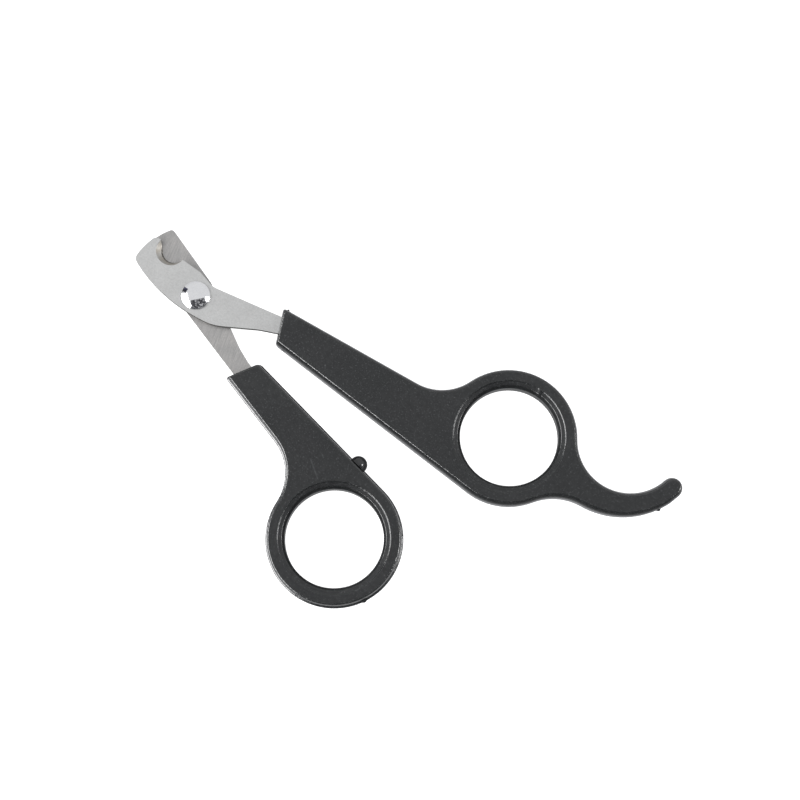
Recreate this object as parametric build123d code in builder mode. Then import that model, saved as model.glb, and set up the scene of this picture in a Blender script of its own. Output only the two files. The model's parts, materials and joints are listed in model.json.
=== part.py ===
from build123d import *
import os
from math import atan2, cos, degrees, radians, sin, sqrt

os.makedirs("parts", exist_ok=True)

# Scissor-style nail clipper for small pets: two notched steel blades on a domed rivet, each
# moulded into a plastic handle with a finger ring. The front handle also has a finger hook.
#
# Frame: the origin is on the pivot axis, in the plane where the blades slide on each other.
# +Z points to the domed head of the rivet, and +X runs between the two handles.
# Each lever is drawn in its own plane, with its X axis from the pivot to its ring centre.

# Driving dimensions, in millimetres and degrees
half_spread = 17.8  # from +X to each lever's X axis, with the clipper as it lies

finger_bore_radius = 11.0
ring_radius = 15.36
front_ring_reach = 77.4  # pivot to ring centre
rear_ring_reach = 63.2
handle_thickness = 6.4
front_draft = 7.0  # how far the side walls lean in from the mould's parting plane
back_draft = 1.0
handle_edge_radius = 0.3
bore_land_half = 1.9  # half the height of the bore's straight wall
bore_step_width = 0.55
bore_rim_width = 1.6  # from the bore wall to the outer edge of its flared rim
bore_rim_depth = 0.3

blade_thickness = 1.5
slide_gap = 0.02  # between the sliding faces
front_jaw_radius = 16.5  # blade tips, from the pivot
rear_jaw_radius = 16.65
notch_cutting_radius = 2.7  # claw notch at the cutting face
notch_outer_radius = 3.4  # at the outer face, where the bevel ends
rear_jaw_turn = -10.0  # the rear blade's cutting side against the mirrored front one
tang_hole_radius = 1.6

rivet_shank_radius = 1.5
rivet_running_fit = 0.05  # radial, in the front blade
rivet_head_radius = 3.25
rivet_head_height = 1.35
rivet_head_rim = 0.25
rivet_tail_radius = 2.4
rivet_tail_height = 0.8

bumper_radius = 2.0
bumper_reach = 53.0  # pivot to the bumper's axis, along the handle's inner edge
bumper_plug_radius = 1.2
bumper_plug_length = 3.0

# Straight edges of the handles: direction, and offset to the left of the pivot
front_upper_edge = (-5.15, 7.45)
front_lower_angle = -13.2
rear_upper_angle = 14.3
rear_lower_edge = (7.9, -6.0)
front_neck_radius = 11.25
rear_neck_radius = 11.85
rear_far_bearing = -25.0  # of a point halfway round the rear ring, seen from its centre

# How far along its two straight edges each handle starts, and how its end corners are rounded
front_top_start = 18.45
front_bottom_start = 20.95
rear_top_start = 21.0
rear_bottom_start = 18.8
handle_corner_radius = 0.6
rear_thumb_radius = 1.6  # the end corner that faces the other handle

# Finger hook of the front handle
hook_root_radius = 12.55
hook_outer_radius = 19.1
hook_outer_centre = Vector(100.05, 11.9)
hook_inner_radius = 11.65
hook_inner_bearing = 22.85  # direction of the inner arc's centre, seen from the ring centre
hook_tip_radius = 2.35
hook_tip_bearing = -24.2  # direction of the tip, seen from the inner arc's centre
hook_flank_angle = 63.5
hook_heel_radius = 8.0

front_plane = Plane(origin=(0, 0, 0), x_dir=(cos(radians(half_spread)), sin(radians(half_spread)), 0))
rear_plane = Plane(origin=(0, 0, 0), x_dir=(cos(radians(half_spread)), -sin(radians(half_spread)), 0))
half_handle = handle_thickness / 2
inner_face = slide_gap / 2
outer_face = inner_face + blade_thickness


def direction(angle):
    """Unit vector at an angle from X."""
    return Vector(cos(radians(angle)), sin(radians(angle)))


def on_edge(angle, offset, along):
    """Point on a straight edge that passes at a distance to the left of the pivot."""
    return direction(angle) * along + direction(angle + 90) * offset


def toward(start, end, distance):
    """Point at a distance from start, on the way to end."""
    return start + (end - start).normalized() * distance


def ring_tangent_offset(reach, angle, side):
    """Offset of the edge at this angle that just touches the ring on one side (+1 above)."""
    return side * ring_radius - reach * sin(radians(angle))


def neck_centre(reach, edge, side, radius):
    """Centre of the arc that touches a straight edge and the ring, outside both."""
    angle, offset = edge
    ring_along = reach * cos(radians(angle))
    ring_offset = -reach * sin(radians(angle))
    centre_offset = offset + side * radius
    run = sqrt((ring_radius + radius) ** 2 - (centre_offset - ring_offset) ** 2)
    return on_edge(angle, centre_offset, ring_along - run)


def draw_arc(centre, start, end):
    """Arc about a centre, the short way from start to end."""
    radius = (start - centre).length
    ThreePointArc(start, toward(centre, (start + end) * 0.5, radius), end)


def circle_crossing(first, first_radius, second, second_radius):
    """Where two circles cross, on the right-hand side of the way from first to second."""
    gap = (second - first).length
    along = (first_radius ** 2 - second_radius ** 2 + gap ** 2) / (2 * gap)
    aside = sqrt(first_radius ** 2 - along ** 2)
    way = (second - first).normalized()
    return first + way * along + Vector(way.Y, -way.X) * aside


def opposite(point):
    """Where a point of the front blade's cutting side falls on the rear blade."""
    return direction(rear_jaw_turn - degrees(atan2(point.Y, point.X))) * point.length


def corner(sketch, point):
    """The corner of a sketch nearest to a point."""
    return sketch.vertices().sort_by_distance(point)[0]


# Corners of the blades, each in its own lever's plane
front_notch_cutting = Vector(-9.05, 7.43)  # centre of the notch at the cutting face
front_notch_outer = Vector(-9.55, 7.03)
front_tip_back = direction(173.1) * front_jaw_radius
front_tip_middle = direction(161.3) * front_jaw_radius
front_tip_cut = direction(149.5) * front_jaw_radius
front_mouth = Vector(-12.8, 8.44)
front_mouth_side = Vector(-11.55, 6.4)
front_jaw_heel = Vector(-5.9, 6.15)
front_shoulder = Vector(-1.2, 5.25)
front_throat = Vector(2.6, 3.42)
front_back_swell = Vector(-7.1, -2.6)
front_belly = Vector(2.1, -4.4)
front_waist = Vector(6.2, -4.65)
front_tang_root = Vector(16.2, -1.15)
front_tang = [Vector(22.5, 0.3), Vector(44.0, -3.5), Vector(44.4, 0.7), Vector(19.4, 3.62)]
front_tang_hole = Vector(36.0, -0.4)

rear_notch_cutting = opposite(front_notch_cutting)
rear_notch_outer = opposite(front_notch_outer)
rear_tip_back = direction(169.8) * rear_jaw_radius
rear_tip_middle = direction(185.0) * rear_jaw_radius
rear_tip_cut = opposite(front_tip_cut)
rear_mouth = opposite(front_mouth)
rear_mouth_side = opposite(front_mouth_side)
rear_jaw_heel = opposite(front_jaw_heel)
rear_shoulder = opposite(front_shoulder)
rear_throat = Vector(-0.6, -4.0)
rear_back_shoulder = Vector(-1.0, 4.45)
rear_back_waist = Vector(1.4, 4.0)
rear_tang_root = Vector(15.2, 2.7)
rear_tang = [Vector(19.0, 2.8), Vector(42.6, 6.1), Vector(43.2, 1.9), Vector(19.0, -1.4)]
rear_tang_hole = Vector(36.0, 3.1)

# How each corner of a blade's outline is rounded
tang_corner_radius = 1.2
front_blade_rounds = [
    (front_tip_back, 1.8),
    (front_tip_cut, 1.0),
    (front_shoulder, 6.0),
    (front_throat, 4.0),
    (front_waist, 12.0),
    (front_tang_root, 10.0),
    (front_tang[1], tang_corner_radius),
    (front_tang[2], tang_corner_radius),
]
rear_blade_rounds = [
    (rear_tip_back, 0.9),
    (rear_tip_cut, 1.0),
    (rear_shoulder, 1.5),
    (rear_throat, 4.0),
    (rear_back_waist, 6.0),
    (rear_back_shoulder, 3.0),
    (rear_tang_root, 10.0),
    (rear_tang[1], tang_corner_radius),
    (rear_tang[2], tang_corner_radius),
]

front_ring = Vector(front_ring_reach, 0)
rear_ring = Vector(rear_ring_reach, 0)
rear_ring_far = rear_ring + direction(rear_far_bearing) * ring_radius


def cut_notch(plane, cutting_centre, outer_centre, turn_out):
    """Bevelled claw notch between two circles; turn_out is +1 or -1, from cutting to outer face."""
    with BuildSketch(plane.offset(turn_out * inner_face)) as cutting:
        with Locations(cutting_centre):
            Circle(notch_cutting_radius)
    with BuildSketch(plane.offset(turn_out * outer_face)) as outer:
        with Locations(outer_centre):
            Circle(notch_outer_radius)
    loft([cutting.sketch, outer.sketch], ruled=True, mode=Mode.SUBTRACT)


def cut_hole(plane, centre, radius):
    """Round hole through a blade."""
    with BuildSketch(plane) as hole:
        with Locations(centre):
            Circle(radius)
    extrude(hole.sketch, amount=half_handle, both=True, mode=Mode.SUBTRACT)


def cut_finger_bore(plane, reach):
    """Finger bore with a straight land and a stepped, flared rim on each face."""
    middle = plane.from_local_coords(Vector(reach, 0, 0))
    step_height = half_handle - bore_rim_depth
    wall = [
        (finger_bore_radius, bore_land_half),
        (finger_bore_radius + bore_step_width, step_height),
        (finger_bore_radius + bore_rim_width, half_handle),
    ]
    below = [(radius, -height) for radius, height in reversed(wall)]
    with BuildSketch(Plane(origin=middle, x_dir=(1, 0, 0), z_dir=(0, -1, 0))) as profile:
        with BuildLine():
            Polyline((0, -half_handle), *below, *wall, (0, half_handle), close=True)
        make_face()
    revolve(profile.sketch, axis=Axis(middle, (0, 0, 1)), mode=Mode.SUBTRACT)


# Front blade: lies over the rear one, and its notch opens over the rear blade's flat
with BuildPart() as front_blade:
    with BuildSketch(front_plane.offset(inner_face)) as outline:
        with BuildLine():
            ThreePointArc(front_tip_cut, front_tip_middle, front_tip_back)
            ThreePointArc(front_tip_back, front_back_swell, front_belly)
            Polyline(front_belly, front_waist, front_tang_root, *front_tang, front_throat)
            Polyline(front_throat, front_shoulder, front_jaw_heel, front_notch_outer)
            Polyline(front_notch_outer, front_mouth_side, front_mouth, front_tip_cut)
        make_face()
        for point, radius in front_blade_rounds:
            fillet(corner(outline, point), radius)
    extrude(amount=blade_thickness)
    cut_notch(front_plane, front_notch_cutting, front_notch_outer, 1)
    cut_hole(front_plane, (0, 0), rivet_shank_radius + rivet_running_fit)
    cut_hole(front_plane, front_tang_hole, tang_hole_radius)
front_blade.part.label = "front_blade"

# Rear blade: its own notch faces the other way and lies hidden until the jaws open
with BuildPart() as rear_blade:
    with BuildSketch(rear_plane.offset(-inner_face)) as outline:
        with BuildLine():
            ThreePointArc(rear_tip_back, rear_tip_middle, rear_tip_cut)
            Polyline(rear_tip_cut, rear_mouth, rear_mouth_side, rear_notch_outer)
            Polyline(rear_notch_outer, rear_jaw_heel, rear_shoulder, rear_throat)
            Polyline(rear_throat, *reversed(rear_tang), rear_tang_root, rear_back_waist)
            Polyline(rear_back_waist, rear_back_shoulder, rear_tip_back)
        make_face()
        for point, radius in rear_blade_rounds:
            fillet(corner(outline, point), radius)
    extrude(amount=-blade_thickness)
    cut_notch(rear_plane, rear_notch_cutting, rear_notch_outer, -1)
    cut_hole(rear_plane, (0, 0), rivet_shank_radius)
    cut_hole(rear_plane, rear_tang_hole, tang_hole_radius)
rear_blade.part.label = "rear_blade"

# Pivot rivet: polished dome in front, shank through both blades, formed tail behind
head_seat = outer_face + slide_gap
head_rim_top = head_seat + rivet_head_rim
head_top = head_seat + rivet_head_height
tail_top = -outer_face
tail_rim_bottom = tail_top - rivet_tail_height / 2
tail_bottom = tail_top - rivet_tail_height
with BuildPart() as pivot_rivet:
    with BuildSketch(Plane.XZ):
        with BuildLine():
            dome_height = head_top - head_rim_top
            dome_radius = (rivet_head_radius ** 2 + dome_height ** 2) / (2 * dome_height)
            RadiusArc((0, head_top), (rivet_head_radius, head_rim_top), dome_radius)
            Polyline(
                (rivet_head_radius, head_rim_top),
                (rivet_head_radius, head_seat),
                (rivet_shank_radius, head_seat),
                (rivet_shank_radius, tail_top),
                (rivet_tail_radius, tail_top),
                (rivet_tail_radius, tail_rim_bottom),
            )
            swell_height = tail_rim_bottom - tail_bottom
            swell_radius = (rivet_tail_radius ** 2 + swell_height ** 2) / (2 * swell_height)
            RadiusArc((rivet_tail_radius, tail_rim_bottom), (0, tail_bottom), swell_radius)
            Line((0, tail_bottom), (0, head_top))
        make_face()
    revolve(axis=Axis.Z)
pivot_rivet.part.label = "pivot_rivet"

# Stop bumper: domed button on the rear handle's inner edge, plugged into a blind hole
rear_upper_offset = ring_tangent_offset(rear_ring_reach, rear_upper_angle, 1)
bumper_foot = on_edge(rear_upper_angle, rear_upper_offset, bumper_reach)
bumper_turn = radians(rear_upper_angle - half_spread)
bumper_plane = Plane(
    origin=rear_plane.from_local_coords(bumper_foot),
    x_dir=(cos(bumper_turn), sin(bumper_turn), 0),
)
with BuildPart() as stop_bumper:
    with BuildSketch(bumper_plane):
        with BuildLine():
            RadiusArc((0, bumper_radius), (bumper_radius, 0), bumper_radius)
            Polyline(
                (bumper_radius, 0),
                (bumper_plug_radius, 0),
                (bumper_plug_radius, -bumper_plug_length),
                (0, -bumper_plug_length),
                (0, bumper_radius),
            )
        make_face()
    revolve(axis=Axis(bumper_plane.origin, bumper_plane.y_dir))
stop_bumper.part.label = "stop_bumper"

# Front handle: bar, finger ring and hook, moulded round the front blade's tang
front_lower_offset = ring_tangent_offset(front_ring_reach, front_lower_angle, -1)
front_end_top = on_edge(*front_upper_edge, front_top_start)
front_end_bottom = on_edge(front_lower_angle, front_lower_offset, front_bottom_start)
front_neck = neck_centre(front_ring_reach, front_upper_edge, 1, front_neck_radius)
front_neck_start = front_neck - direction(front_upper_edge[0] + 90) * front_neck_radius
front_neck_end = toward(front_ring, front_neck, ring_radius)
front_ring_touch = front_ring + direction(front_lower_angle - 90) * ring_radius

hook_inner = front_ring + direction(hook_inner_bearing) * (ring_radius + hook_inner_radius)
hook_inner_start = toward(front_ring, hook_inner, ring_radius)
hook_tip = hook_inner + direction(hook_tip_bearing) * (hook_inner_radius + hook_tip_radius)
hook_inner_end = toward(hook_inner, hook_tip, hook_inner_radius)
hook_tip_middle = hook_tip + direction(hook_flank_angle) * hook_tip_radius
flank_normal = direction(hook_flank_angle - 90)
hook_flank_start = hook_tip + flank_normal * hook_tip_radius
flank_rise = (hook_flank_start - hook_outer_centre).dot(flank_normal)
flank_run = sqrt(hook_outer_radius ** 2 - flank_rise ** 2)
hook_heel = hook_outer_centre + flank_normal * flank_rise - direction(hook_flank_angle) * flank_run
hook_root = circle_crossing(
    front_ring,
    ring_radius + hook_root_radius,
    hook_outer_centre,
    hook_outer_radius + hook_root_radius,
)
hook_outer_end = toward(hook_outer_centre, hook_root, hook_outer_radius)
hook_root_end = toward(front_ring, hook_root, ring_radius)

with BuildPart() as front_handle:
    with BuildSketch(front_plane) as outline:
        with BuildLine():
            Polyline(front_neck_start, front_end_top, front_end_bottom, front_ring_touch)
            draw_arc(front_ring, front_ring_touch, hook_root_end)
            draw_arc(hook_root, hook_root_end, hook_outer_end)
            draw_arc(hook_outer_centre, hook_outer_end, hook_heel)
            Line(hook_heel, hook_flank_start)
            ThreePointArc(hook_flank_start, hook_tip_middle, hook_inner_end)
            draw_arc(hook_inner, hook_inner_end, hook_inner_start)
            draw_arc(front_ring, hook_inner_start, front_neck_end)
            draw_arc(front_neck, front_neck_end, front_neck_start)
        make_face()
        fillet(corner(outline, hook_heel), hook_heel_radius)
        fillet(corner(outline, front_end_top), handle_corner_radius)
        fillet(corner(outline, front_end_bottom), handle_corner_radius)
    extrude(amount=half_handle, taper=front_draft)
    extrude(outline.sketch, amount=half_handle, dir=(0, 0, -1), taper=back_draft)
    fillet(front_handle.faces().filter_by(Axis.Z).edges(), handle_edge_radius)
    cut_finger_bore(front_plane, front_ring_reach)
    add(front_blade.part, mode=Mode.SUBTRACT)
front_handle.part.label = "front_handle"

# Rear handle: bar and finger ring, moulded round the rear blade's tang
rear_end_top = on_edge(rear_upper_angle, rear_upper_offset, rear_top_start)
rear_end_bottom = on_edge(*rear_lower_edge, rear_bottom_start)
rear_neck = neck_centre(rear_ring_reach, rear_lower_edge, -1, rear_neck_radius)
rear_neck_start = rear_neck + direction(rear_lower_edge[0] + 90) * rear_neck_radius
rear_neck_end = toward(rear_ring, rear_neck, ring_radius)
rear_ring_touch = rear_ring + direction(rear_upper_angle + 90) * ring_radius

with BuildPart() as rear_handle:
    with BuildSketch(rear_plane) as outline:
        with BuildLine():
            Line(rear_end_bottom, rear_neck_start)
            draw_arc(rear_neck, rear_neck_start, rear_neck_end)
            ThreePointArc(rear_neck_end, rear_ring_far, rear_ring_touch)
            Polyline(rear_ring_touch, rear_end_top, rear_end_bottom)
        make_face()
        fillet(corner(outline, rear_end_top), rear_thumb_radius)
        fillet(corner(outline, rear_end_bottom), handle_corner_radius)
    extrude(amount=half_handle, taper=front_draft)
    extrude(outline.sketch, amount=half_handle, dir=(0, 0, -1), taper=back_draft)
    fillet(rear_handle.faces().filter_by(Axis.Z).edges(), handle_edge_radius)
    cut_finger_bore(rear_plane, rear_ring_reach)
    add(rear_blade.part, mode=Mode.SUBTRACT)
    add(stop_bumper.part, mode=Mode.SUBTRACT)
rear_handle.part.label = "rear_handle"

for piece in (front_blade, rear_blade, pivot_rivet, stop_bumper, front_handle, rear_handle):
    export_step(piece.part, f"parts/{piece.part.label}.step")
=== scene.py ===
import json
import math

import bmesh
import bpy
from mathutils import Matrix, Vector, geometry, kdtree, noise


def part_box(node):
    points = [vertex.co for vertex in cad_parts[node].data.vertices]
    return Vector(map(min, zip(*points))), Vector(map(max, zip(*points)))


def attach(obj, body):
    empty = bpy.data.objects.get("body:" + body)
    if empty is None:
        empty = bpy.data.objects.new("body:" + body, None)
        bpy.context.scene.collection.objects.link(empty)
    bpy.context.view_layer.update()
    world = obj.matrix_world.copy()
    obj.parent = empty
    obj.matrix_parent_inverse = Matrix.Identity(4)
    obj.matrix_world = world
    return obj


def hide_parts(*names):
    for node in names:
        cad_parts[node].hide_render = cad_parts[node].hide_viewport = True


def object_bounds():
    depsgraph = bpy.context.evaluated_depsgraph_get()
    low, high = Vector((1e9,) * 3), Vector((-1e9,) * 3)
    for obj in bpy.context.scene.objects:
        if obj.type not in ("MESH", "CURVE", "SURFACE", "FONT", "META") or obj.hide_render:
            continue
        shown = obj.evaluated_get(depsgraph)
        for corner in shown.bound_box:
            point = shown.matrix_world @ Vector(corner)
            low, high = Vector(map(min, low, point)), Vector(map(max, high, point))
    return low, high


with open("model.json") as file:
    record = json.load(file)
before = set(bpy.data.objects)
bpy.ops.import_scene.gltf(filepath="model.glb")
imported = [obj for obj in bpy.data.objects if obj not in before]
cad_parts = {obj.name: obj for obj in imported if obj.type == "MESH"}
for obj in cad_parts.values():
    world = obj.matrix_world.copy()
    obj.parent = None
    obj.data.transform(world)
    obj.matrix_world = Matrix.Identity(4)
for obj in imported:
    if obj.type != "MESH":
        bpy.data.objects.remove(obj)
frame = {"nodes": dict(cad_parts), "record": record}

# Scissor nail clipper for small pets, lying on a white table. The origin is on the pivot axis
# between the blades, +Z points to the rivet's dome, and every length below is in metres.
#
# Each visible piece is rebuilt finer than its CAD node, from that node's own outline: handles
# with a parting line and rounded rims, blades with broken edges, a turned rivet and a bumper.

cad_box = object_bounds()

MM = 0.001
WELD = 1e-6  # vertices nearer than this are one
UP = Vector((0, 0, 1))
SHARP_ANGLE = math.radians(30)  # edges that turn by more than this are hard
LEVEL = 0.9999  # a cap's faces have normals whose Z is over this
CORNER_SHARE = 0.45  # most of a profile's side that one corner's rounding takes

# The handles' outer walls.
FRONT_ROUND = 0.34 * MM  # edge of a handle's front face
BACK_ROUND = 0.10 * MM
BACK_BOW = 0.11 * MM  # how far the side walls curve in on the way to the back face
WALL_STEPS = 7
ROUND_STEPS = 8
LEDGE_FOOT = 0.06 * MM  # height of the parting line's small ledge above the parting plane
LEDGE_EDGE = 0.14 * MM  # the ledge's broken outer edge
LEDGE_SLOPE = math.radians(27)
CAP_MARGIN = 0.25 * MM  # flat strip between a rounded edge and the cap's triangles
OUTLINE_STEP = 0.4 * MM
FINE_STEP = 0.1 * MM  # spacing of the points that measure how near the outline is
CORNER_SLACK = 0.995  # share of its inset that a point must keep from the whole outline
PARALLEL = 1e-4  # sine of the angle under which two sides count as one

# The parting line's flash.
PARTING_WANDER = 0.03 * MM
WANDER_WAVE = 1.3 * MM
FLASH_HEIGHT = 0.6 * MM  # how far up and down the wall the flash fades
BURR_SPREAD = 4  # the outline is divided finely within this many half widths of a burr
BURR_PARTS = 5  # and this many times finer

# The finger bores.
BORE_LAND_HALF = 1.9 * MM
BORE_STEP_WIDTH = 0.55 * MM
BORE_RIM_WIDTH = 1.6 * MM
BORE_RIM_DEPTH = 0.3 * MM
BORE_LIP = 0.16 * MM  # height and width of the small step at the rim's outer edge
BORE_EDGE_ROUND = 0.12 * MM
BORE_STEPS = 288
WELD_LINE = 0.18 * MM  # height and half width of the ridge where the melt met in the front ring
INSIDE_BORE = 0.9999  # a cap's triangle is in the bore if its middle is in this share of the rim

SCRATCH_WIDTH = 0.25 * MM

# The blades.
WALL_LEAN = 0.01  # a face whose normal's Z is under this is a side wall
FACE_LEAN = 0.99  # and one whose normal's Z is over this is level
BLADE_EDGE_BREAK = 0.09 * MM
HONED_EDGE = 0.22  # share of the blade's thickness that the notch's cutting edge, a line of painted shadow, takes
FLAT_ANGLE = math.radians(0.5)  # neighbouring faces that turn by less than this become one

RIVET_SHANK = 1.5 * MM
RIVET_RIM_HEIGHT = 0.27 * MM
RIVET_RIM_ROUND = 0.10 * MM
RIVET_TAIL = 2.4 * MM
TAIL_ROUND = 0.6  # the tail's rounded edge, as a share of its height
DIMPLE_RIM = 0.36  # the radii of the tail's dimple, as shares of the tail's
DIMPLE_WALL = 0.26
DIMPLE_WALL_DEPTH = 0.12  # and its depths, as shares of the tail's height
DIMPLE_DEPTH = 0.3

BUMPER_RADIUS = 2.0 * MM
BUMPER_SUNK = 0.3 * MM

TABLE_HALF = 3.0
TABLE_GAP = 0.02 * MM  # keeps the table's face apart from the handles' flat backs

CAMERA_TURN = math.radians(42.37)  # the picture's right-hand direction, from +X
CAMERA_TILT = math.radians(8.5)  # from straight above, toward the picture's bottom edge
CAMERA_DISTANCE = 0.46
CAMERA_AIM = Vector((0.0499, 0.0136, 0.0))
SENSOR = 36.0
FOCAL_RATIO = 2.561  # focal length over sensor width
PICTURE_RIGHT = Vector((math.cos(CAMERA_TURN), math.sin(CAMERA_TURN), 0))
PICTURE_UP = Vector((-math.sin(CAMERA_TURN), math.cos(CAMERA_TURN), 0))

ROOM_STRENGTH = 0.80
ROOM_HORIZON = 0.10  # strength at the horizon
BACKDROP_STRENGTH = 0.5


# ---------------------------------------------------------------- materials

class Shader:
    """A procedural material: its node tree, with short calls for the nodes used here."""

    def __init__(self, name):
        self.material = bpy.data.materials.new(name)
        self.material.use_nodes = True
        self.tree = self.material.node_tree
        self.tree.nodes.clear()
        self.surface = self.node("ShaderNodeBsdfPrincipled")
        output = self.node("ShaderNodeOutputMaterial")
        self.link(self.surface.outputs["BSDF"], output.inputs["Surface"])
        self.place = self.node("ShaderNodeTexCoord").outputs["Object"]

    def node(self, kind, **settings):
        """A new node of a kind, with its settings."""
        made = self.tree.nodes.new(kind)
        for name, value in settings.items():
            setattr(made, name, value)
        return made

    def link(self, source, target):
        self.tree.links.new(source, target)

    def turned(self, angle, stretch):
        """Coordinates turned about Z and stretched along the new X, for marks with a direction."""
        mapping = self.node("ShaderNodeMapping", vector_type="TEXTURE")
        mapping.inputs["Rotation"].default_value = (0, 0, angle)
        mapping.inputs["Scale"].default_value = (stretch, 1, 1)
        self.link(self.place, mapping.inputs["Vector"])
        return mapping.outputs["Vector"]

    def noise(self, size, detail=2.0, roughness=0.5, place=None):
        """Noise whose blotches are about size metres across, from 0 to 1."""
        made = self.node("ShaderNodeTexNoise")
        made.inputs["Scale"].default_value = 1 / size
        made.inputs["Detail"].default_value = detail
        made.inputs["Roughness"].default_value = roughness
        self.link(place or self.place, made.inputs["Vector"])
        return made.outputs["Fac"]

    def ramp(self, source, low, high, start, end):
        """The source's range from low to high, as a number from start to end."""
        made = self.node("ShaderNodeMapRange")
        for name, value in zip(("From Min", "From Max", "To Min", "To Max"), (low, high, start, end)):
            made.inputs[name].default_value = value
        self.link(source, made.inputs["Value"])
        return made.outputs["Result"]

    def colours(self, source, *stops):
        """A colour ramp over the source; each stop is (position, colour)."""
        made = self.node("ShaderNodeValToRGB")
        elements = made.color_ramp.elements
        while len(elements) < len(stops):
            elements.new(0.5)
        for element, (position, colour) in zip(elements, stops):
            element.position = position
            element.color = (*colour, 1)
        self.link(source, made.inputs["Fac"])
        return made.outputs["Color"]

    def calc(self, operation, first, second):
        """The outcome of a math node on two numbers or sockets."""
        made = self.node("ShaderNodeMath", operation=operation)
        for socket, value in zip(made.inputs, (first, second)):
            if isinstance(value, (int, float)):
                socket.default_value = value
            else:
                self.link(value, socket)
        return made.outputs["Value"]

    def mix(self, factor, first, second):
        """Mixed colour; first and second are colour sockets or colours."""
        made = self.node("ShaderNodeMix", data_type="RGBA")
        self.link(factor, made.inputs["Factor"])
        for name, value in (("A", first), ("B", second)):
            socket = [s for s in made.inputs if s.name == name and s.type == "RGBA"][0]
            if isinstance(value, tuple):
                socket.default_value = (*value, 1)
            else:
                self.link(value, socket)
        return [s for s in made.outputs if s.type == "RGBA"][0]

    def scratch(self, start, end):
        """Faint, broken line between two points of a flat face, as a 0 to 1 factor."""
        run = end - start
        mapping = self.node("ShaderNodeMapping", vector_type="TEXTURE")
        mapping.inputs["Location"].default_value = (*start, 0)
        mapping.inputs["Rotation"].default_value = (0, 0, math.atan2(run.y, run.x))
        self.link(self.place, mapping.inputs["Vector"])
        spread = self.node("ShaderNodeSeparateXYZ")
        self.link(mapping.outputs["Vector"], spread.inputs["Vector"])
        along, aside = spread.outputs["X"], self.calc("ABSOLUTE", spread.outputs["Y"], 0)
        middle = self.calc("ABSOLUTE", self.calc("SUBTRACT", along, run.length / 2), 0)
        inside = self.ramp(middle, run.length * 0.4, run.length * 0.5, 1, 0)
        thin = self.ramp(aside, 0, SCRATCH_WIDTH, 1, 0)
        return self.calc("MULTIPLY", self.calc("MULTIPLY", inside, thin), self.noise(0.8 * MM))

    def bump(self, height, depth, under=None):
        """Bump of a 0 to 1 height that stands for depth metres, over an earlier bump."""
        made = self.node("ShaderNodeBump")
        made.inputs["Strength"].default_value = 1
        made.inputs["Distance"].default_value = depth
        self.link(height, made.inputs["Height"])
        if under:
            self.link(under, made.inputs["Normal"])
        return made.outputs["Normal"]

    def finish(self, colour, roughness, normal, constants):
        """Links what varies over the surface, and sets the constants on the shader itself."""
        for name, source in (("Base Color", colour), ("Roughness", roughness), ("Normal", normal)):
            if source:
                self.link(source, self.surface.inputs[name])
        for name, value in constants.items():
            self.surface.inputs[name].default_value = value
        return self.material


METAL = {"Metallic": 1.0}


def moulded_plastic(name, grain_size, relief, roughness_range, ior, scratches=()):
    """Charcoal plastic with a spark-eroded grain of some relief, and bright specks on the grain's
    peaks that are painted glints.
    """
    s = Shader(name)
    grain = s.noise(grain_size, 3.0, 0.7)
    pits = s.noise(1.1 * MM, 2.0)
    slow = s.noise(9 * MM, 2.0)
    tone = s.colours(slow, (0.3, (0.0062, 0.0068, 0.0072)), (0.7, (0.0090, 0.0096, 0.0100)))
    dust = s.mix(s.ramp(pits, 0.35, 0.65, 0, 1), tone, (0.0045, 0.0050, 0.0054))
    # Painted glints: the bright specks where the grain peaks.
    colour = s.mix(s.ramp(grain, 0.58, 0.70, 0, 1), dust, (0.044, 0.046, 0.048))
    for start, end in scratches:
        colour = s.mix(s.scratch(start, end), colour, (0.040, 0.042, 0.044))
    sheen = s.ramp(slow, 0.3, 0.7, *roughness_range)
    roughness = s.calc("ADD", sheen, s.ramp(grain, 0.3, 0.7, -0.06, 0.06))
    normal = s.bump(pits, 0.030 * MM * relief)
    normal = s.bump(grain, 0.026 * MM * relief, normal)
    return s.finish(colour, roughness, normal, {"IOR": ior})


def blasted_steel(name, pale, dark, lay_angle, lay_contrast):
    """Bead-blasted steel with faint rolling marks along lay_angle, darkened in its beads and marks
    with painted shade.
    """
    s = Shader(name)
    beads = s.noise(0.42 * MM, 3.0, 0.65)
    lay = s.noise(0.30 * MM, 3.0, 0.6, s.turned(lay_angle, 12))
    slow = s.noise(4 * MM, 2.0)
    tone = s.colours(slow, (0.3, dark), (0.7, pale))
    # Painted shade: the dark tone that the blast pits and rolling marks turn towards.
    pit_shade = (0.20, 0.20, 0.20)
    rolled = s.mix(s.ramp(lay, 0.35, 0.65, 0.0, lay_contrast), tone, pit_shade)
    colour = s.mix(s.ramp(beads, 0.35, 0.65, 0.0, 0.26), rolled, pit_shade)
    roughness = s.ramp(beads, 0.3, 0.7, 0.34, 0.46)
    normal = s.bump(beads, 0.016 * MM)
    normal = s.bump(lay, 0.008 * MM, normal)
    return s.finish(colour, roughness, normal, METAL)


def shaded_sheared_steel():
    """The blades' stamped side walls: torn, and dark with painted shade."""
    s = Shader("shaded_sheared_steel")
    tears = s.noise(0.18 * MM, 3.0, 0.6)
    colour = s.colours(tears, (0.3, (0.07, 0.07, 0.07)), (0.7, (0.16, 0.155, 0.15)))
    roughness = s.ramp(tears, 0.3, 0.7, 0.45, 0.65)
    return s.finish(colour, roughness, s.bump(tears, 0.015 * MM), METAL)


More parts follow.
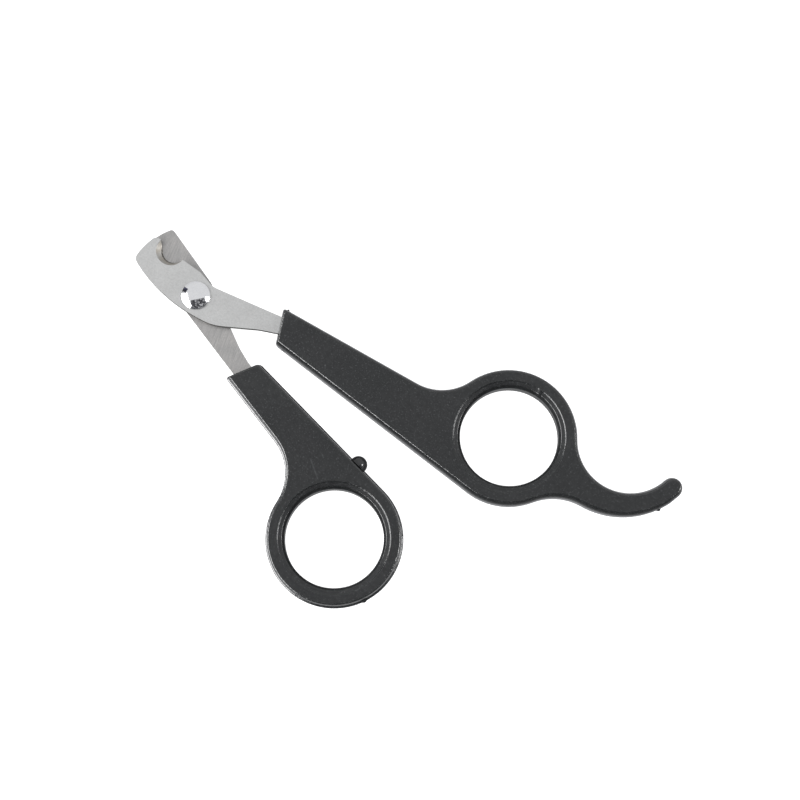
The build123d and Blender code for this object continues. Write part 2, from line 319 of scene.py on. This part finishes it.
def honed_steel():
    """The ground bevel of the notch: warmer in tone than the blade, with fine grinding marks."""
    s = Shader("honed_steel")
    lines = s.noise(0.10 * MM, 2.0)
    slow = s.noise(1.2 * MM, 1.0)
    colour = s.colours(slow, (0.3, (0.60, 0.56, 0.50)), (0.7, (0.74, 0.73, 0.70)))
    roughness = s.ramp(lines, 0.3, 0.7, 0.38, 0.50)
    return s.finish(colour, roughness, s.bump(lines, 0.002 * MM), METAL)


def keen_edge_shadow():
    """The cutting edge of the notch: an uneven, dark line of painted shadow where the blades meet."""
    s = Shader("keen_edge_shadow")
    nicks = s.noise(0.35 * MM, 3.0, 0.7)
    colour = s.colours(nicks, (0.40, (0.05, 0.045, 0.04)), (0.62, (0.36, 0.34, 0.31)))
    roughness = s.ramp(nicks, 0.3, 0.7, 0.35, 0.50)
    return s.finish(colour, roughness, s.bump(nicks, 0.008 * MM), METAL)


def polished_rivet():
    """The rivet's chrome, with faint marks from tumbling."""
    s = Shader("polished_rivet")
    marks = s.noise(0.5 * MM, 4.0, 0.7)
    colour = s.colours(marks, (0.3, (0.80, 0.80, 0.81)), (0.7, (0.88, 0.88, 0.88)))
    roughness = s.ramp(marks, 0.35, 0.75, 0.04, 0.10)
    return s.finish(colour, roughness, s.bump(marks, 0.0010 * MM), METAL)


def gloss_rubber():
    """The bumper: darker and glossier than the handle round it."""
    s = Shader("gloss_rubber")
    dust = s.noise(0.25 * MM, 3.0)
    colour = s.colours(dust, (0.35, (0.018, 0.018, 0.019)), (0.75, (0.034, 0.035, 0.036)))
    roughness = s.ramp(dust, 0.3, 0.7, 0.08, 0.14)
    return s.finish(colour, roughness, s.bump(dust, 0.003 * MM), {"IOR": 1.5})


def white_table():
    """Matt white acrylic, lit from below so that the object throws no shadow on it."""
    s = Shader("white_table")
    mottle = s.noise(30 * MM, 2.0)
    colour = s.colours(mottle, (0.3, (0.42, 0.42, 0.42)), (0.7, (0.45, 0.45, 0.45)))
    glow = {"Emission Color": (1, 1, 1, 1), "Emission Strength": 1.0}
    return s.finish(colour, s.ramp(mottle, 0.3, 0.7, 0.75, 0.85), None, glow)


# ---------------------------------------------------------------- mesh helpers

def mesh_object(name, mesh, materials, flat_caps=False):
    """An object from a bmesh, smooth shaded except where faces turn quickly or a cap begins."""
    bmesh.ops.recalc_face_normals(mesh, faces=mesh.faces)
    for face in mesh.faces:
        face.smooth = True
    for edge in mesh.edges:
        edge.smooth = edge.is_manifold and edge.calc_face_angle() < SHARP_ANGLE
        if flat_caps and sum(abs(face.normal.z) > LEVEL for face in edge.link_faces) == 1:
            edge.smooth = False
    data = bpy.data.meshes.new(name)
    mesh.to_mesh(data)
    mesh.free()
    for material in materials:
        data.materials.append(material)
    made = bpy.data.objects.new(name, data)
    bpy.context.scene.collection.objects.link(made)
    return made


def cad_mesh(node):
    """Welded copy of a CAD node's mesh."""
    mesh = bmesh.new()
    mesh.from_mesh(frame["nodes"][node].data)
    bmesh.ops.remove_doubles(mesh, verts=mesh.verts, dist=WELD)
    mesh.normal_update()
    return mesh


def ring_of(mesh, points):
    """New vertices at the points of a closed ring."""
    return [mesh.verts.new(point) for point in points]


def bridge(mesh, first, second, material_index=0):
    """Quads between two closed rings that have as many vertices each."""
    count = len(first)
    for i in range(count):
        j = (i + 1) % count
        face = mesh.faces.new((first[i], first[j], second[j], second[i]))
        face.material_index = material_index


def rounded(profile, radius, steps=4):
    """An open profile of 2-D points, with each corner between its ends rounded."""
    points = [Vector(point) for point in profile]
    out = [points[0]]
    for before, here, after in zip(points, points[1:], points[2:]):
        back, ahead = before - here, after - here
        reach = min(radius, back.length * CORNER_SHARE, ahead.length * CORNER_SHARE)
        start, end = here + back.normalized() * reach, here + ahead.normalized() * reach
        for k in range(steps + 1):
            t = k / steps
            out.append(start * (1 - t) ** 2 + here * 2 * t * (1 - t) + end * t ** 2)
    out.append(points[-1])
    return out


def turned_piece(name, profile, axis, origin, steps, material):
    """A body of revolution; its profile of (radius, height) starts and ends on the axis."""
    mesh = bmesh.new()
    angles = [2 * math.pi * k / steps for k in range(steps)]
    rings, poles = [], []
    for radius, height in profile:
        if radius < WELD:
            poles.append(mesh.verts.new((0, 0, height)))
            continue
        spots = [(radius * math.cos(a), radius * math.sin(a), height) for a in angles]
        rings.append(ring_of(mesh, spots))
    for first, second in zip(rings, rings[1:]):
        bridge(mesh, first, second)
    for pole, ring in zip(poles, (rings[0], rings[-1])):
        for here, after in zip(ring, ring[1:] + ring[:1]):
            mesh.faces.new((pole, here, after))
    turn = Vector(axis).to_track_quat("Z", "Y").to_matrix().to_4x4()
    mesh.transform(Matrix.Translation(origin) @ turn)
    return mesh_object(name, mesh, [material])


def arc(centre, radius, start, end, steps):
    """Points (radius, height) of an arc in a turned profile, angles from the radial direction."""
    angles = [start + (end - start) * k / steps for k in range(steps + 1)]
    return [(centre[0] + radius * math.cos(a), centre[1] + radius * math.sin(a)) for a in angles]


# ---------------------------------------------------------------- handles

def parting_outline(node):
    """A CAD handle's outline on its parting plane, counter-clockwise."""
    mesh = cad_mesh(node)
    links = {}
    for edge in mesh.edges:
        first, second = edge.verts
        if abs(first.co.z) < WELD and abs(second.co.z) < WELD:
            links.setdefault(first, []).append(second)
            links.setdefault(second, []).append(first)
    ends = [vertex for vertex, others in links.items() if len(others) == 1]
    here = ends[0] if ends else next(iter(links))
    path, seen = [], set()
    while here is not None:
        seen.add(here)
        path.append(here.co.to_2d())
        here = next((other for other in links[here] if other not in seen), None)
    mesh.free()
    if ends:  # the bumper's blind hole breaks the edge, and both ends lie at its bottom
        path = path[1:-1]
    area = sum(a.x * b.y - a.y * b.x for a, b in zip(path, path[1:] + path[:1]))
    return path if area > 0 else path[::-1]


def finer(path, step, burrs):
    """The closed path with its long straight runs divided, and divided more near each burr.

    A burr is (spot, height, half width)."""
    out = []
    for start, end in zip(path, path[1:] + path[:1]):
        middle = (start + end) / 2
        near = any((middle - spot).length < reach * BURR_SPREAD + step for spot, _, reach in burrs)
        parts = max(1, round((end - start).length / (step / BURR_PARTS if near else step)))
        out += [start.lerp(end, k / parts) for k in range(parts)]
    return out


def outward(path):
    """Unit normals of a counter-clockwise closed path."""
    normals = []
    for before, after in zip(path[-1:] + path[:-1], path[1:] + path[:1]):
        along = (after - before).normalized()
        normals.append(Vector((along.y, -along.x)))
    return normals


GRAIN, BURNISH, WALL_SATIN, RIM = 0, 1, 2, 3  # a handle's materials, in order


def half_section(half, step, bow, edge_round):
    """Half of a side wall's section, from the parting plane to the cap: (inset, height, material).

    It starts with a sloping ledge as wide as step, then curves in by bow. The material is that
    of the strip which ends at the point."""
    top = half - edge_round
    lean = math.atan(2 * bow * top / half ** 2)
    section = [(0, 0, WALL_SATIN)]
    ledge_top = 0
    if step:
        ledge_top = LEDGE_FOOT + LEDGE_EDGE + (step - LEDGE_EDGE) * math.tan(LEDGE_SLOPE)
        section += [(0, LEDGE_FOOT, WALL_SATIN), (LEDGE_EDGE, LEDGE_FOOT + LEDGE_EDGE, WALL_SATIN)]
        section.append((step, ledge_top, BURNISH))
    for k in range(1, WALL_STEPS + 1):
        height = ledge_top + (top - ledge_top) * k / WALL_STEPS
        section.append((step + bow * (height / half) ** 2, height, WALL_SATIN))
    reach = (top + edge_round * math.sin(lean)) / half
    centre_inset = step + bow * reach ** 2 + edge_round * math.cos(lean)
    for k in range(ROUND_STEPS + 1):
        angle = lean + (math.pi / 2 - lean) * k / ROUND_STEPS
        inset = centre_inset - edge_round * math.cos(angle)
        section.append((inset, top + edge_round * math.sin(angle), BURNISH if k else WALL_SATIN))
    section.append((centre_inset + CAP_MARGIN, half, GRAIN))
    return section


def moved_in(path, normals, outline, distance):
    """The path moved inwards; at a corner too tight for that, its points meet where the sides do.

    outline is a tree of the whole outline's points."""
    count = len(path)
    alongs = [Vector((-normal.y, normal.x)) for normal in normals]
    spots = [point - normal * distance for point, normal in zip(path, normals)]
    crossed = []
    for k, spot in enumerate(spots):
        gap = (spot - outline.find((*spot, 0))[0].to_2d()).length
        ahead = spots[(k + 1) % count] - spot
        crossed.append(gap < distance * CORNER_SLACK or ahead.dot(alongs[k]) <= 0)
    for k in range(count):
        if crossed[k] and not crossed[k - 1]:
            last = k
            while crossed[last % count]:
                last += 1
            close_corner(spots, alongs, k - 1, last)
    return spots


def close_corner(spots, alongs, first, last):
    """Moves the spots between first and last to where the sides before and after them meet.

    A side's own end moves too where it lies beyond that corner."""
    count = len(spots)
    while True:
        before, after = first % count, last % count
        gap, turn = spots[after] - spots[before], alongs[before].cross(alongs[after])
        if abs(turn) < PARALLEL:
            corner = (spots[before] + spots[after]) / 2
            break
        corner = spots[before] + alongs[before] * (gap.cross(alongs[after]) / turn)
        if (corner - spots[before]).dot(alongs[before]) < 0:
            first -= 1
        elif (spots[after] - corner).dot(alongs[after]) < 0:
            last += 1
        else:
            break
    for index in range(first + 1, last):
        spots[index % count] = corner


def cap(mesh, outer, inner, centre):
    """Flat triangles between a handle's outer rim and the round rim of its bore."""
    points = [vertex.co.to_2d() for vertex in outer + inner]
    start, count = len(outer), len(inner)
    hole = [(start + k, start + (k + 1) % count) for k in range(count)]
    spots, _, triangles, *_ = geometry.delaunay_2d_cdt(points, hole, [list(range(start))], 1, WELD)
    vertices = [mesh.verts.new((*spot, outer[0].co.z)) for spot in spots]
    hole_radius = (points[-1] - centre).length
    for triangle in triangles:
        middle = sum((spots[index] for index in triangle), Vector((0, 0))) / 3
        if (middle - centre).length > hole_radius * INSIDE_BORE:
            mesh.faces.new([vertices[index] for index in triangle])


def on_lever(ring_mount, along, aside):
    """Point of a lever: millimetres from the pivot towards its ring's centre, and to the left."""
    axis = Vector(ring_mount["pos_m"]).to_2d().normalized()
    return (axis * along + Vector((-axis.y, axis.x)) * aside) * MM


def burr(ring_mount, along, aside, height, reach):
    """A burr near a point of a lever, with its height and half width, all in millimetres."""
    return on_lever(ring_mount, along, aside), height * MM, reach * MM


def burr_height(point, burrs):
    """How far the flash of the parting line sticks out at a point of the outline."""
    return sum(
        height * math.exp(-((point - spot).length / reach) ** 2) for spot, height, reach in burrs
    )


def outer_wall(mesh, path, normals, outline, burrs, section, side):
    """One half of a handle's outer wall, from the parting line to the cap; returns the last ring."""
    ring = []
    for inset, height, material in section:
        fade = max(0, 1 - height / FLASH_HEIGHT)
        spots = []
        for point, normal, spot in zip(path, normals, moved_in(path, normals, outline, inset)):
            wander = abs(noise.noise((point / WANDER_WAVE).to_3d())) * PARTING_WANDER
            flash = (wander - burr_height(point, burrs)) * fade
            spots.append((*(spot - normal * flash), side * height))
        last, ring = ring, ring_of(mesh, spots)
        if last:
            bridge(mesh, last, ring, material)
    return ring


def bore_wall(mesh, centre, bore, half, weld_bearing, side):
    """One half of a finger bore, with its stepped and lipped rim; returns the last ring."""
    section = rounded([
        (bore, 0),
        (bore, BORE_LAND_HALF),
        (bore + BORE_STEP_WIDTH, half - BORE_RIM_DEPTH),
        (bore + BORE_RIM_WIDTH - BORE_LIP, half - BORE_LIP),
        (bore + BORE_RIM_WIDTH, half),
        (bore + BORE_RIM_WIDTH + BORE_EDGE_ROUND + CAP_MARGIN, half),
    ], BORE_EDGE_ROUND)
    ring, before = [], None
    for here in section:
        radius, height = here
        spots = []
        for k in range(BORE_STEPS):
            angle = 2 * math.pi * k / BORE_STEPS
            spot = centre + Vector((math.cos(angle), math.sin(angle))) * radius
            raised = height
            if weld_bearing is not None and side > 0 and height > BORE_LAND_HALF:
                aside = math.remainder(angle - weld_bearing, 2 * math.pi) * radius
                raised = min(half, height + WELD_LINE * math.exp(-(aside / WELD_LINE) ** 2 / 4))
            spots.append((*spot, side * raised))
        last, ring = ring, ring_of(mesh, spots)
        if last:
            rounding = (here - before).length < BORE_EDGE_ROUND / 2
            bridge(mesh, last, ring, RIM if rounding else GRAIN)
        before = here
    return ring


def handle(name, node, ring_mount, body, materials, step, bow, burrs=(), weld_bearing=None):
    """A moulded handle round one finger bore.

    Its front half is narrower than the back one by step, and curves in by bow. Each burr of the
    parting line is (spot near it, height, half width)."""
    low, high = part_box(node)
    half = (high.z - low.z) / 2
    outline = parting_outline(node)
    samples = finer(outline, FINE_STEP, ())
    burrs = [
        (min(samples, key=lambda sample: (sample - spot).length), height, reach)
        for spot, height, reach in burrs
    ]
    path = finer(outline, OUTLINE_STEP, burrs)
    normals = outward(path)
    tree = kdtree.KDTree(len(samples))
    for index, sample in enumerate(samples):
        tree.insert((*sample, 0), index)
    tree.balance()
    centre = Vector(ring_mount["pos_m"]).to_2d()
    bore = ring_mount["dims"]["r_mm"] * MM
    front_section = half_section(half, step, bow, FRONT_ROUND)
    back_section = half_section(half, 0, BACK_BOW, BACK_ROUND)
    mesh = bmesh.new()
    for side, section in ((1, front_section), (-1, back_section)):
        outer_rim = outer_wall(mesh, path, normals, tree, burrs, section, side)
        bore_rim = bore_wall(mesh, centre, bore, half, weld_bearing, side)
        cap(mesh, outer_rim, bore_rim, centre)
    bmesh.ops.remove_doubles(mesh, verts=mesh.verts, dist=WELD)
    made = mesh_object(name, mesh, materials)
    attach(made, body)
    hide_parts(node)
    return made


# ---------------------------------------------------------------- blades

FACE, WALL, BEVEL, KEEN = 0, 1, 2, 3  # a blade's materials, in order


def blade_zone(face, keen_z):
    """Which of a blade's materials a face has; the cutting edge ends at keen_z."""
    lean = abs(face.normal.z)
    if lean > FACE_LEAN:
        return FACE
    if lean < WALL_LEAN:
        return WALL
    return KEEN if abs(face.calc_center_median().z) < abs(keen_z) else BEVEL


def blade(name, node, body, materials):
    """A stamped blade: broken edges and sheared walls dark with painted shade, and a ground notch
    bevel.
    """
    mesh = cad_mesh(node)
    bmesh.ops.dissolve_limit(mesh, angle_limit=FLAT_ANGLE, verts=mesh.verts, edges=mesh.edges)
    low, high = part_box(node)
    slide_z, outer_z = sorted((low.z, high.z), key=abs)
    keen_z = slide_z + (outer_z - slide_z) * HONED_EDGE
    bevels = [face for face in mesh.faces if WALL_LEAN <= abs(face.normal.z) <= FACE_LEAN]
    around = bevels + list(dict.fromkeys(edge for face in bevels for edge in face.edges))
    around += list(dict.fromkeys(vertex for face in bevels for vertex in face.verts))
    bmesh.ops.bisect_plane(mesh, geom=around, plane_co=(0, 0, keen_z), plane_no=(0, 0, 1))
    for face in mesh.faces:
        face.material_index = blade_zone(face, keen_z)
    broken = []
    for edge in mesh.edges:
        level = abs(edge.verts[0].co.z - edge.verts[1].co.z) < WELD
        walled = any(face.material_index == WALL for face in edge.link_faces)
        cutting = level and abs(edge.verts[0].co.z - slide_z) < WELD
        sharp = edge.is_manifold and edge.calc_face_angle() > SHARP_ANGLE
        if sharp and walled and not cutting:
            broken.append(edge)
    # The broken edges take the sheared walls' material: a thin outline of painted shade round the
    # blade.
    bmesh.ops.bevel(
        mesh, geom=broken, offset=BLADE_EDGE_BREAK, segments=2, profile=0.5,
        affect="EDGES", clamp_overlap=True, material=WALL,
    )
    made = mesh_object(name, mesh, materials, flat_caps=True)
    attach(made, body)
    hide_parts(node)
    return made


# ---------------------------------------------------------------- rivet and bumper

def rivet():
    """Polished domed head with a rolled rim, and the swaged tail behind the rear blade."""
    low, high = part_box("pivot_rivet")
    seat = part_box("front_blade")[1].z
    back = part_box("rear_blade")[0].z
    head = high.x
    rim = RIVET_RIM_ROUND
    edge_height = seat + RIVET_RIM_HEIGHT
    rise = high.z - edge_height
    dome = (head ** 2 + rise ** 2) / (2 * rise)
    spread = math.asin((head - rim) / dome)
    profile = arc((0, high.z - dome), dome, math.pi / 2, math.pi / 2 - spread, 20)
    profile[0] = (0, high.z)
    shoulder = profile[-1][1]
    profile += arc((head - rim, shoulder - rim), rim, math.radians(60), 0, 5)
    profile += [(head, seat + rim), (head - rim, seat), (RIVET_SHANK, seat), (RIVET_SHANK, back)]
    tail = RIVET_TAIL
    depth = back - low.z
    profile += [(tail - rim, back), (tail, back - rim)]
    edge_round = depth * TAIL_ROUND
    edge_centre = (tail - edge_round, back - depth * (1 - TAIL_ROUND))
    profile += arc(edge_centre, edge_round, 0, -math.pi / 2, 8)
    profile += [
        (tail * DIMPLE_RIM, low.z),
        (tail * DIMPLE_WALL, low.z + depth * DIMPLE_WALL_DEPTH),
        (0, low.z + depth * DIMPLE_DEPTH),
    ]
    made = turned_piece("rivet", profile, UP, Vector(), 128, polished_rivet())
    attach(made, "rear_lever")
    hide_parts("pivot_rivet")


def bumper_seat():
    """Where the bumper's axis leaves the rear handle's inner edge, and the edge's normal."""
    low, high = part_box("stop_bumper")
    middle = ((low + high) / 2).to_2d()
    path = parting_outline("rear_handle")
    runs = list(zip(path, path[1:] + path[:1]))
    start, end = min(runs, key=lambda run: distance_to_run(middle, *run))
    along = (end - start).normalized()
    foot = start + along * (middle - start).dot(along)
    return Vector((*foot, 0)), Vector((along.y, -along.x, 0))


def distance_to_run(point, start, end):
    """How far a point is from a straight run."""
    run = end - start
    share = min(1, max(0, (point - start).dot(run) / run.length_squared))
    return (start + run * share - point).length


def bumper(edge):
    """Domed button pressed into the rear handle's inner edge; edge is (foot, outward normal)."""
    foot, way = edge
    profile = arc((0, 0), BUMPER_RADIUS, math.pi / 2, 0, 16)
    profile[0] = (0, BUMPER_RADIUS)
    profile += [(BUMPER_RADIUS, -BUMPER_SUNK), (0, -BUMPER_SUNK)]
    made = turned_piece("stop_bumper_button", profile, way, foot, 64, gloss_rubber())
    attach(made, "rear_lever")
    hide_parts("stop_bumper")


# ---------------------------------------------------------------- stage

def area_light(name, toward, distance, size, radiance):
    """A soft box that faces the object from a direction, and looks as bright as radiance."""
    data = bpy.data.lights.new(name, "AREA")
    data.shape = "RECTANGLE"
    data.size, data.size_y = size
    data.energy = radiance * math.pi * data.size * data.size_y
    lamp = bpy.data.objects.new(name, data)
    way = Vector(toward).normalized()
    lamp.location = CAMERA_AIM + way * distance
    lamp.rotation_mode = "QUATERNION"
    lamp.rotation_quaternion = way.to_track_quat("Z", "Y")
    lamp.visible_camera = False
    bpy.context.scene.collection.objects.link(lamp)


def camera():
    """The camera, as the photograph was taken: nearly from above, a little from the bottom edge."""
    data = bpy.data.cameras.new("camera")
    data.sensor_width = SENSOR
    data.lens = SENSOR * FOCAL_RATIO
    made = bpy.data.objects.new("camera", data)
    back = UP * math.cos(CAMERA_TILT) - PICTURE_UP * math.sin(CAMERA_TILT)
    turn = Matrix((PICTURE_RIGHT, back.cross(PICTURE_RIGHT), back)).transposed()
    made.matrix_world = Matrix.Translation(CAMERA_AIM + back * CAMERA_DISTANCE) @ turn.to_4x4()
    bpy.context.scene.collection.objects.link(made)
    bpy.context.scene.camera = made


def floor():
    """A large pale table under the object; gloss sees the lit backdrop below instead."""
    mesh = bmesh.new()
    bmesh.ops.create_grid(mesh, x_segments=24, y_segments=24, size=TABLE_HALF)
    made = mesh_object("table", mesh, [white_table()])
    made.location = (*CAMERA_AIM.xy, cad_box[0].z - TABLE_GAP)
    made.visible_glossy = False


def seen_from(azimuth, tilt):
    """A direction: azimuth from the picture's right-hand direction, tilt from straight up."""
    across = PICTURE_RIGHT * math.cos(math.radians(azimuth))
    across += PICTURE_UP * math.sin(math.radians(azimuth))
    return across * math.sin(math.radians(tilt)) + UP * math.cos(math.radians(tilt))


def dark_card(name, direction, distance, size, gaps):
    """A dark card seen only in reflections, as the photographer is; gaps is its light colour."""
    mesh = bmesh.new()
    bmesh.ops.create_grid(mesh, x_segments=8, y_segments=8, size=0.5)
    turn = direction.to_track_quat("Z", "Y").to_matrix().to_4x4()
    place = Matrix.Translation(CAMERA_AIM + direction * distance)
    mesh.transform(place @ turn @ Matrix.Diagonal((*size, 1, 1)))
    s = Shader(name + "_cloth")
    folds = s.noise(0.16, 4.0, 0.7)
    colour = s.colours(folds, (0.50, (0.010, 0.010, 0.014)), (0.62, gaps))
    cloth = s.finish(colour, s.ramp(folds, 0.3, 0.7, 0.8, 0.9), None, {})
    card = mesh_object(name, mesh, [cloth])
    card.visible_camera = False
    card.visible_shadow = False


def room():
    """A pale room that darkens near the horizon, with a lit backdrop of limited size below."""
    world = bpy.data.worlds.new("studio")
    bpy.context.scene.world = world
    world.use_nodes = True
    tree = world.node_tree
    background = tree.nodes["Background"]
    background.inputs["Color"].default_value = (0.97, 0.98, 1.0, 1)
    direction = tree.nodes.new("ShaderNodeTexCoord").outputs["Generated"]

    def faded(axis, edge, core, outside, inside):
        """Strength that rises from outside to inside as a ray turns towards an axis.

        edge and core are the angles from the axis, in degrees, where the rise starts and ends."""
        dot = tree.nodes.new("ShaderNodeVectorMath")
        dot.operation = "DOT_PRODUCT"
        dot.inputs[1].default_value = axis
        tree.links.new(direction, dot.inputs[0])
        fade = tree.nodes.new("ShaderNodeMapRange")
        fade.interpolation_type = "SMOOTHSTEP"
        limits = (math.cos(math.radians(edge)), math.cos(math.radians(core)), outside, inside)
        for name, value in zip(("From Min", "From Max", "To Min", "To Max"), limits):
            fade.inputs[name].default_value = value
        tree.links.new(dot.outputs["Value"], fade.inputs["Value"])
        return fade.outputs["Result"]

    both = tree.nodes.new("ShaderNodeMath")
    sky = faded(UP, edge=91, core=76, outside=ROOM_HORIZON, inside=ROOM_STRENGTH)
    tree.links.new(sky, both.inputs[0])
    below = PICTURE_UP * math.sin(CAMERA_TILT) - UP * math.cos(CAMERA_TILT)
    backdrop = faded(below, edge=48, core=14, outside=0.0, inside=BACKDROP_STRENGTH)
    tree.links.new(backdrop, both.inputs[1])
    tree.links.new(both.outputs["Value"], background.inputs["Strength"])


def studio():
    """The room, soft boxes at the left and right, and dark cards between them."""
    room()
    left, right = seen_from(azimuth=195, tilt=60), seen_from(azimuth=-6, tilt=53)
    area_light("left_box", left, distance=0.9, size=(1.04, 0.52), radiance=10.0)
    area_light("right_box", right, distance=0.9, size=(0.30, 0.26), radiance=16.0)
    near, far = seen_from(azimuth=282, tilt=43), seen_from(azimuth=146, tilt=70)
    dark_card("photographer", near, distance=0.75, size=(1.14, 0.98), gaps=(0.30, 0.30, 0.31))
    dark_card("stand", far, distance=1.0, size=(0.30, 0.36), gaps=(0.03, 0.03, 0.07))
    bpy.context.scene.view_settings.view_transform = "Standard"


# ---------------------------------------------------------------- the clipper

mounts = {mount["name"]: mount for mount in frame["record"]["mounts"]}
front_ring, rear_ring = mounts["front_finger_ring"], mounts["rear_finger_ring"]
scratches = [
    (on_lever(rear_ring, 45.1, 4.2), on_lever(rear_ring, 50.3, 3.3)),
    (on_lever(rear_ring, 45.7, 6.9), on_lever(rear_ring, 46.7, 6.8)),
]
GRAINED = (0.36 * MM, 1.0, (0.30, 0.38), 1.50)  # grain size, relief, roughness, IOR
walls_and_edges = [
    moulded_plastic("burnished_plastic", 0.55 * MM, 2.2, (0.14, 0.20), 1.8),
    moulded_plastic("satin_plastic", 0.36 * MM, 0.35, (0.16, 0.22), 1.8),
    moulded_plastic("rim_plastic", 0.55 * MM, 1.9, (0.16, 0.22), 1.62),
]
handle(
    "front_handle_moulding", "front_handle", front_ring, "front_lever",
    [moulded_plastic("front_plastic", *GRAINED), *walls_and_edges],
    step=0,
    bow=0.66 * MM,
    burrs=[
        burr(front_ring, along=20.3, aside=6.0, height=0.50, reach=0.07),
        burr(front_ring, along=23.0, aside=-3.1, height=0.35, reach=0.22),
        burr(front_ring, along=113.8, aside=-0.6, height=0.25, reach=0.40),
        burr(front_ring, along=114.8, aside=-1.0, height=0.25, reach=0.30),
    ],
    weld_bearing=math.radians(98),
)
handle(
    "rear_handle_moulding", "rear_handle", rear_ring, "rear_lever",
    [moulded_plastic("rear_plastic", *GRAINED, scratches), *walls_and_edges],
    step=0.33 * MM,
    bow=0.32 * MM,
    burrs=[burr(rear_ring, along=78.6, aside=-1.0, height=0.30, reach=0.55)],
)

edges = [shaded_sheared_steel(), honed_steel(), keen_edge_shadow()]
front_steel = blasted_steel(
    "front_steel", (0.62, 0.62, 0.61), (0.575, 0.575, 0.565), math.radians(20), 0.05
)
# The rear blade's steel is darker and warmer than the front's: painted shade.
rear_shaded_steel = blasted_steel(
    "rear_shaded_steel", (0.51, 0.495, 0.48), (0.46, 0.45, 0.44), math.radians(-70), 0.40
)
blade("front_blade_steel", "front_blade", "front_lever", [front_steel, *edges])
blade("rear_blade_steel", "rear_blade", "rear_lever", [rear_shaded_steel, *edges])
rivet()
bumper(bumper_seat())

camera()
floor()
studio()
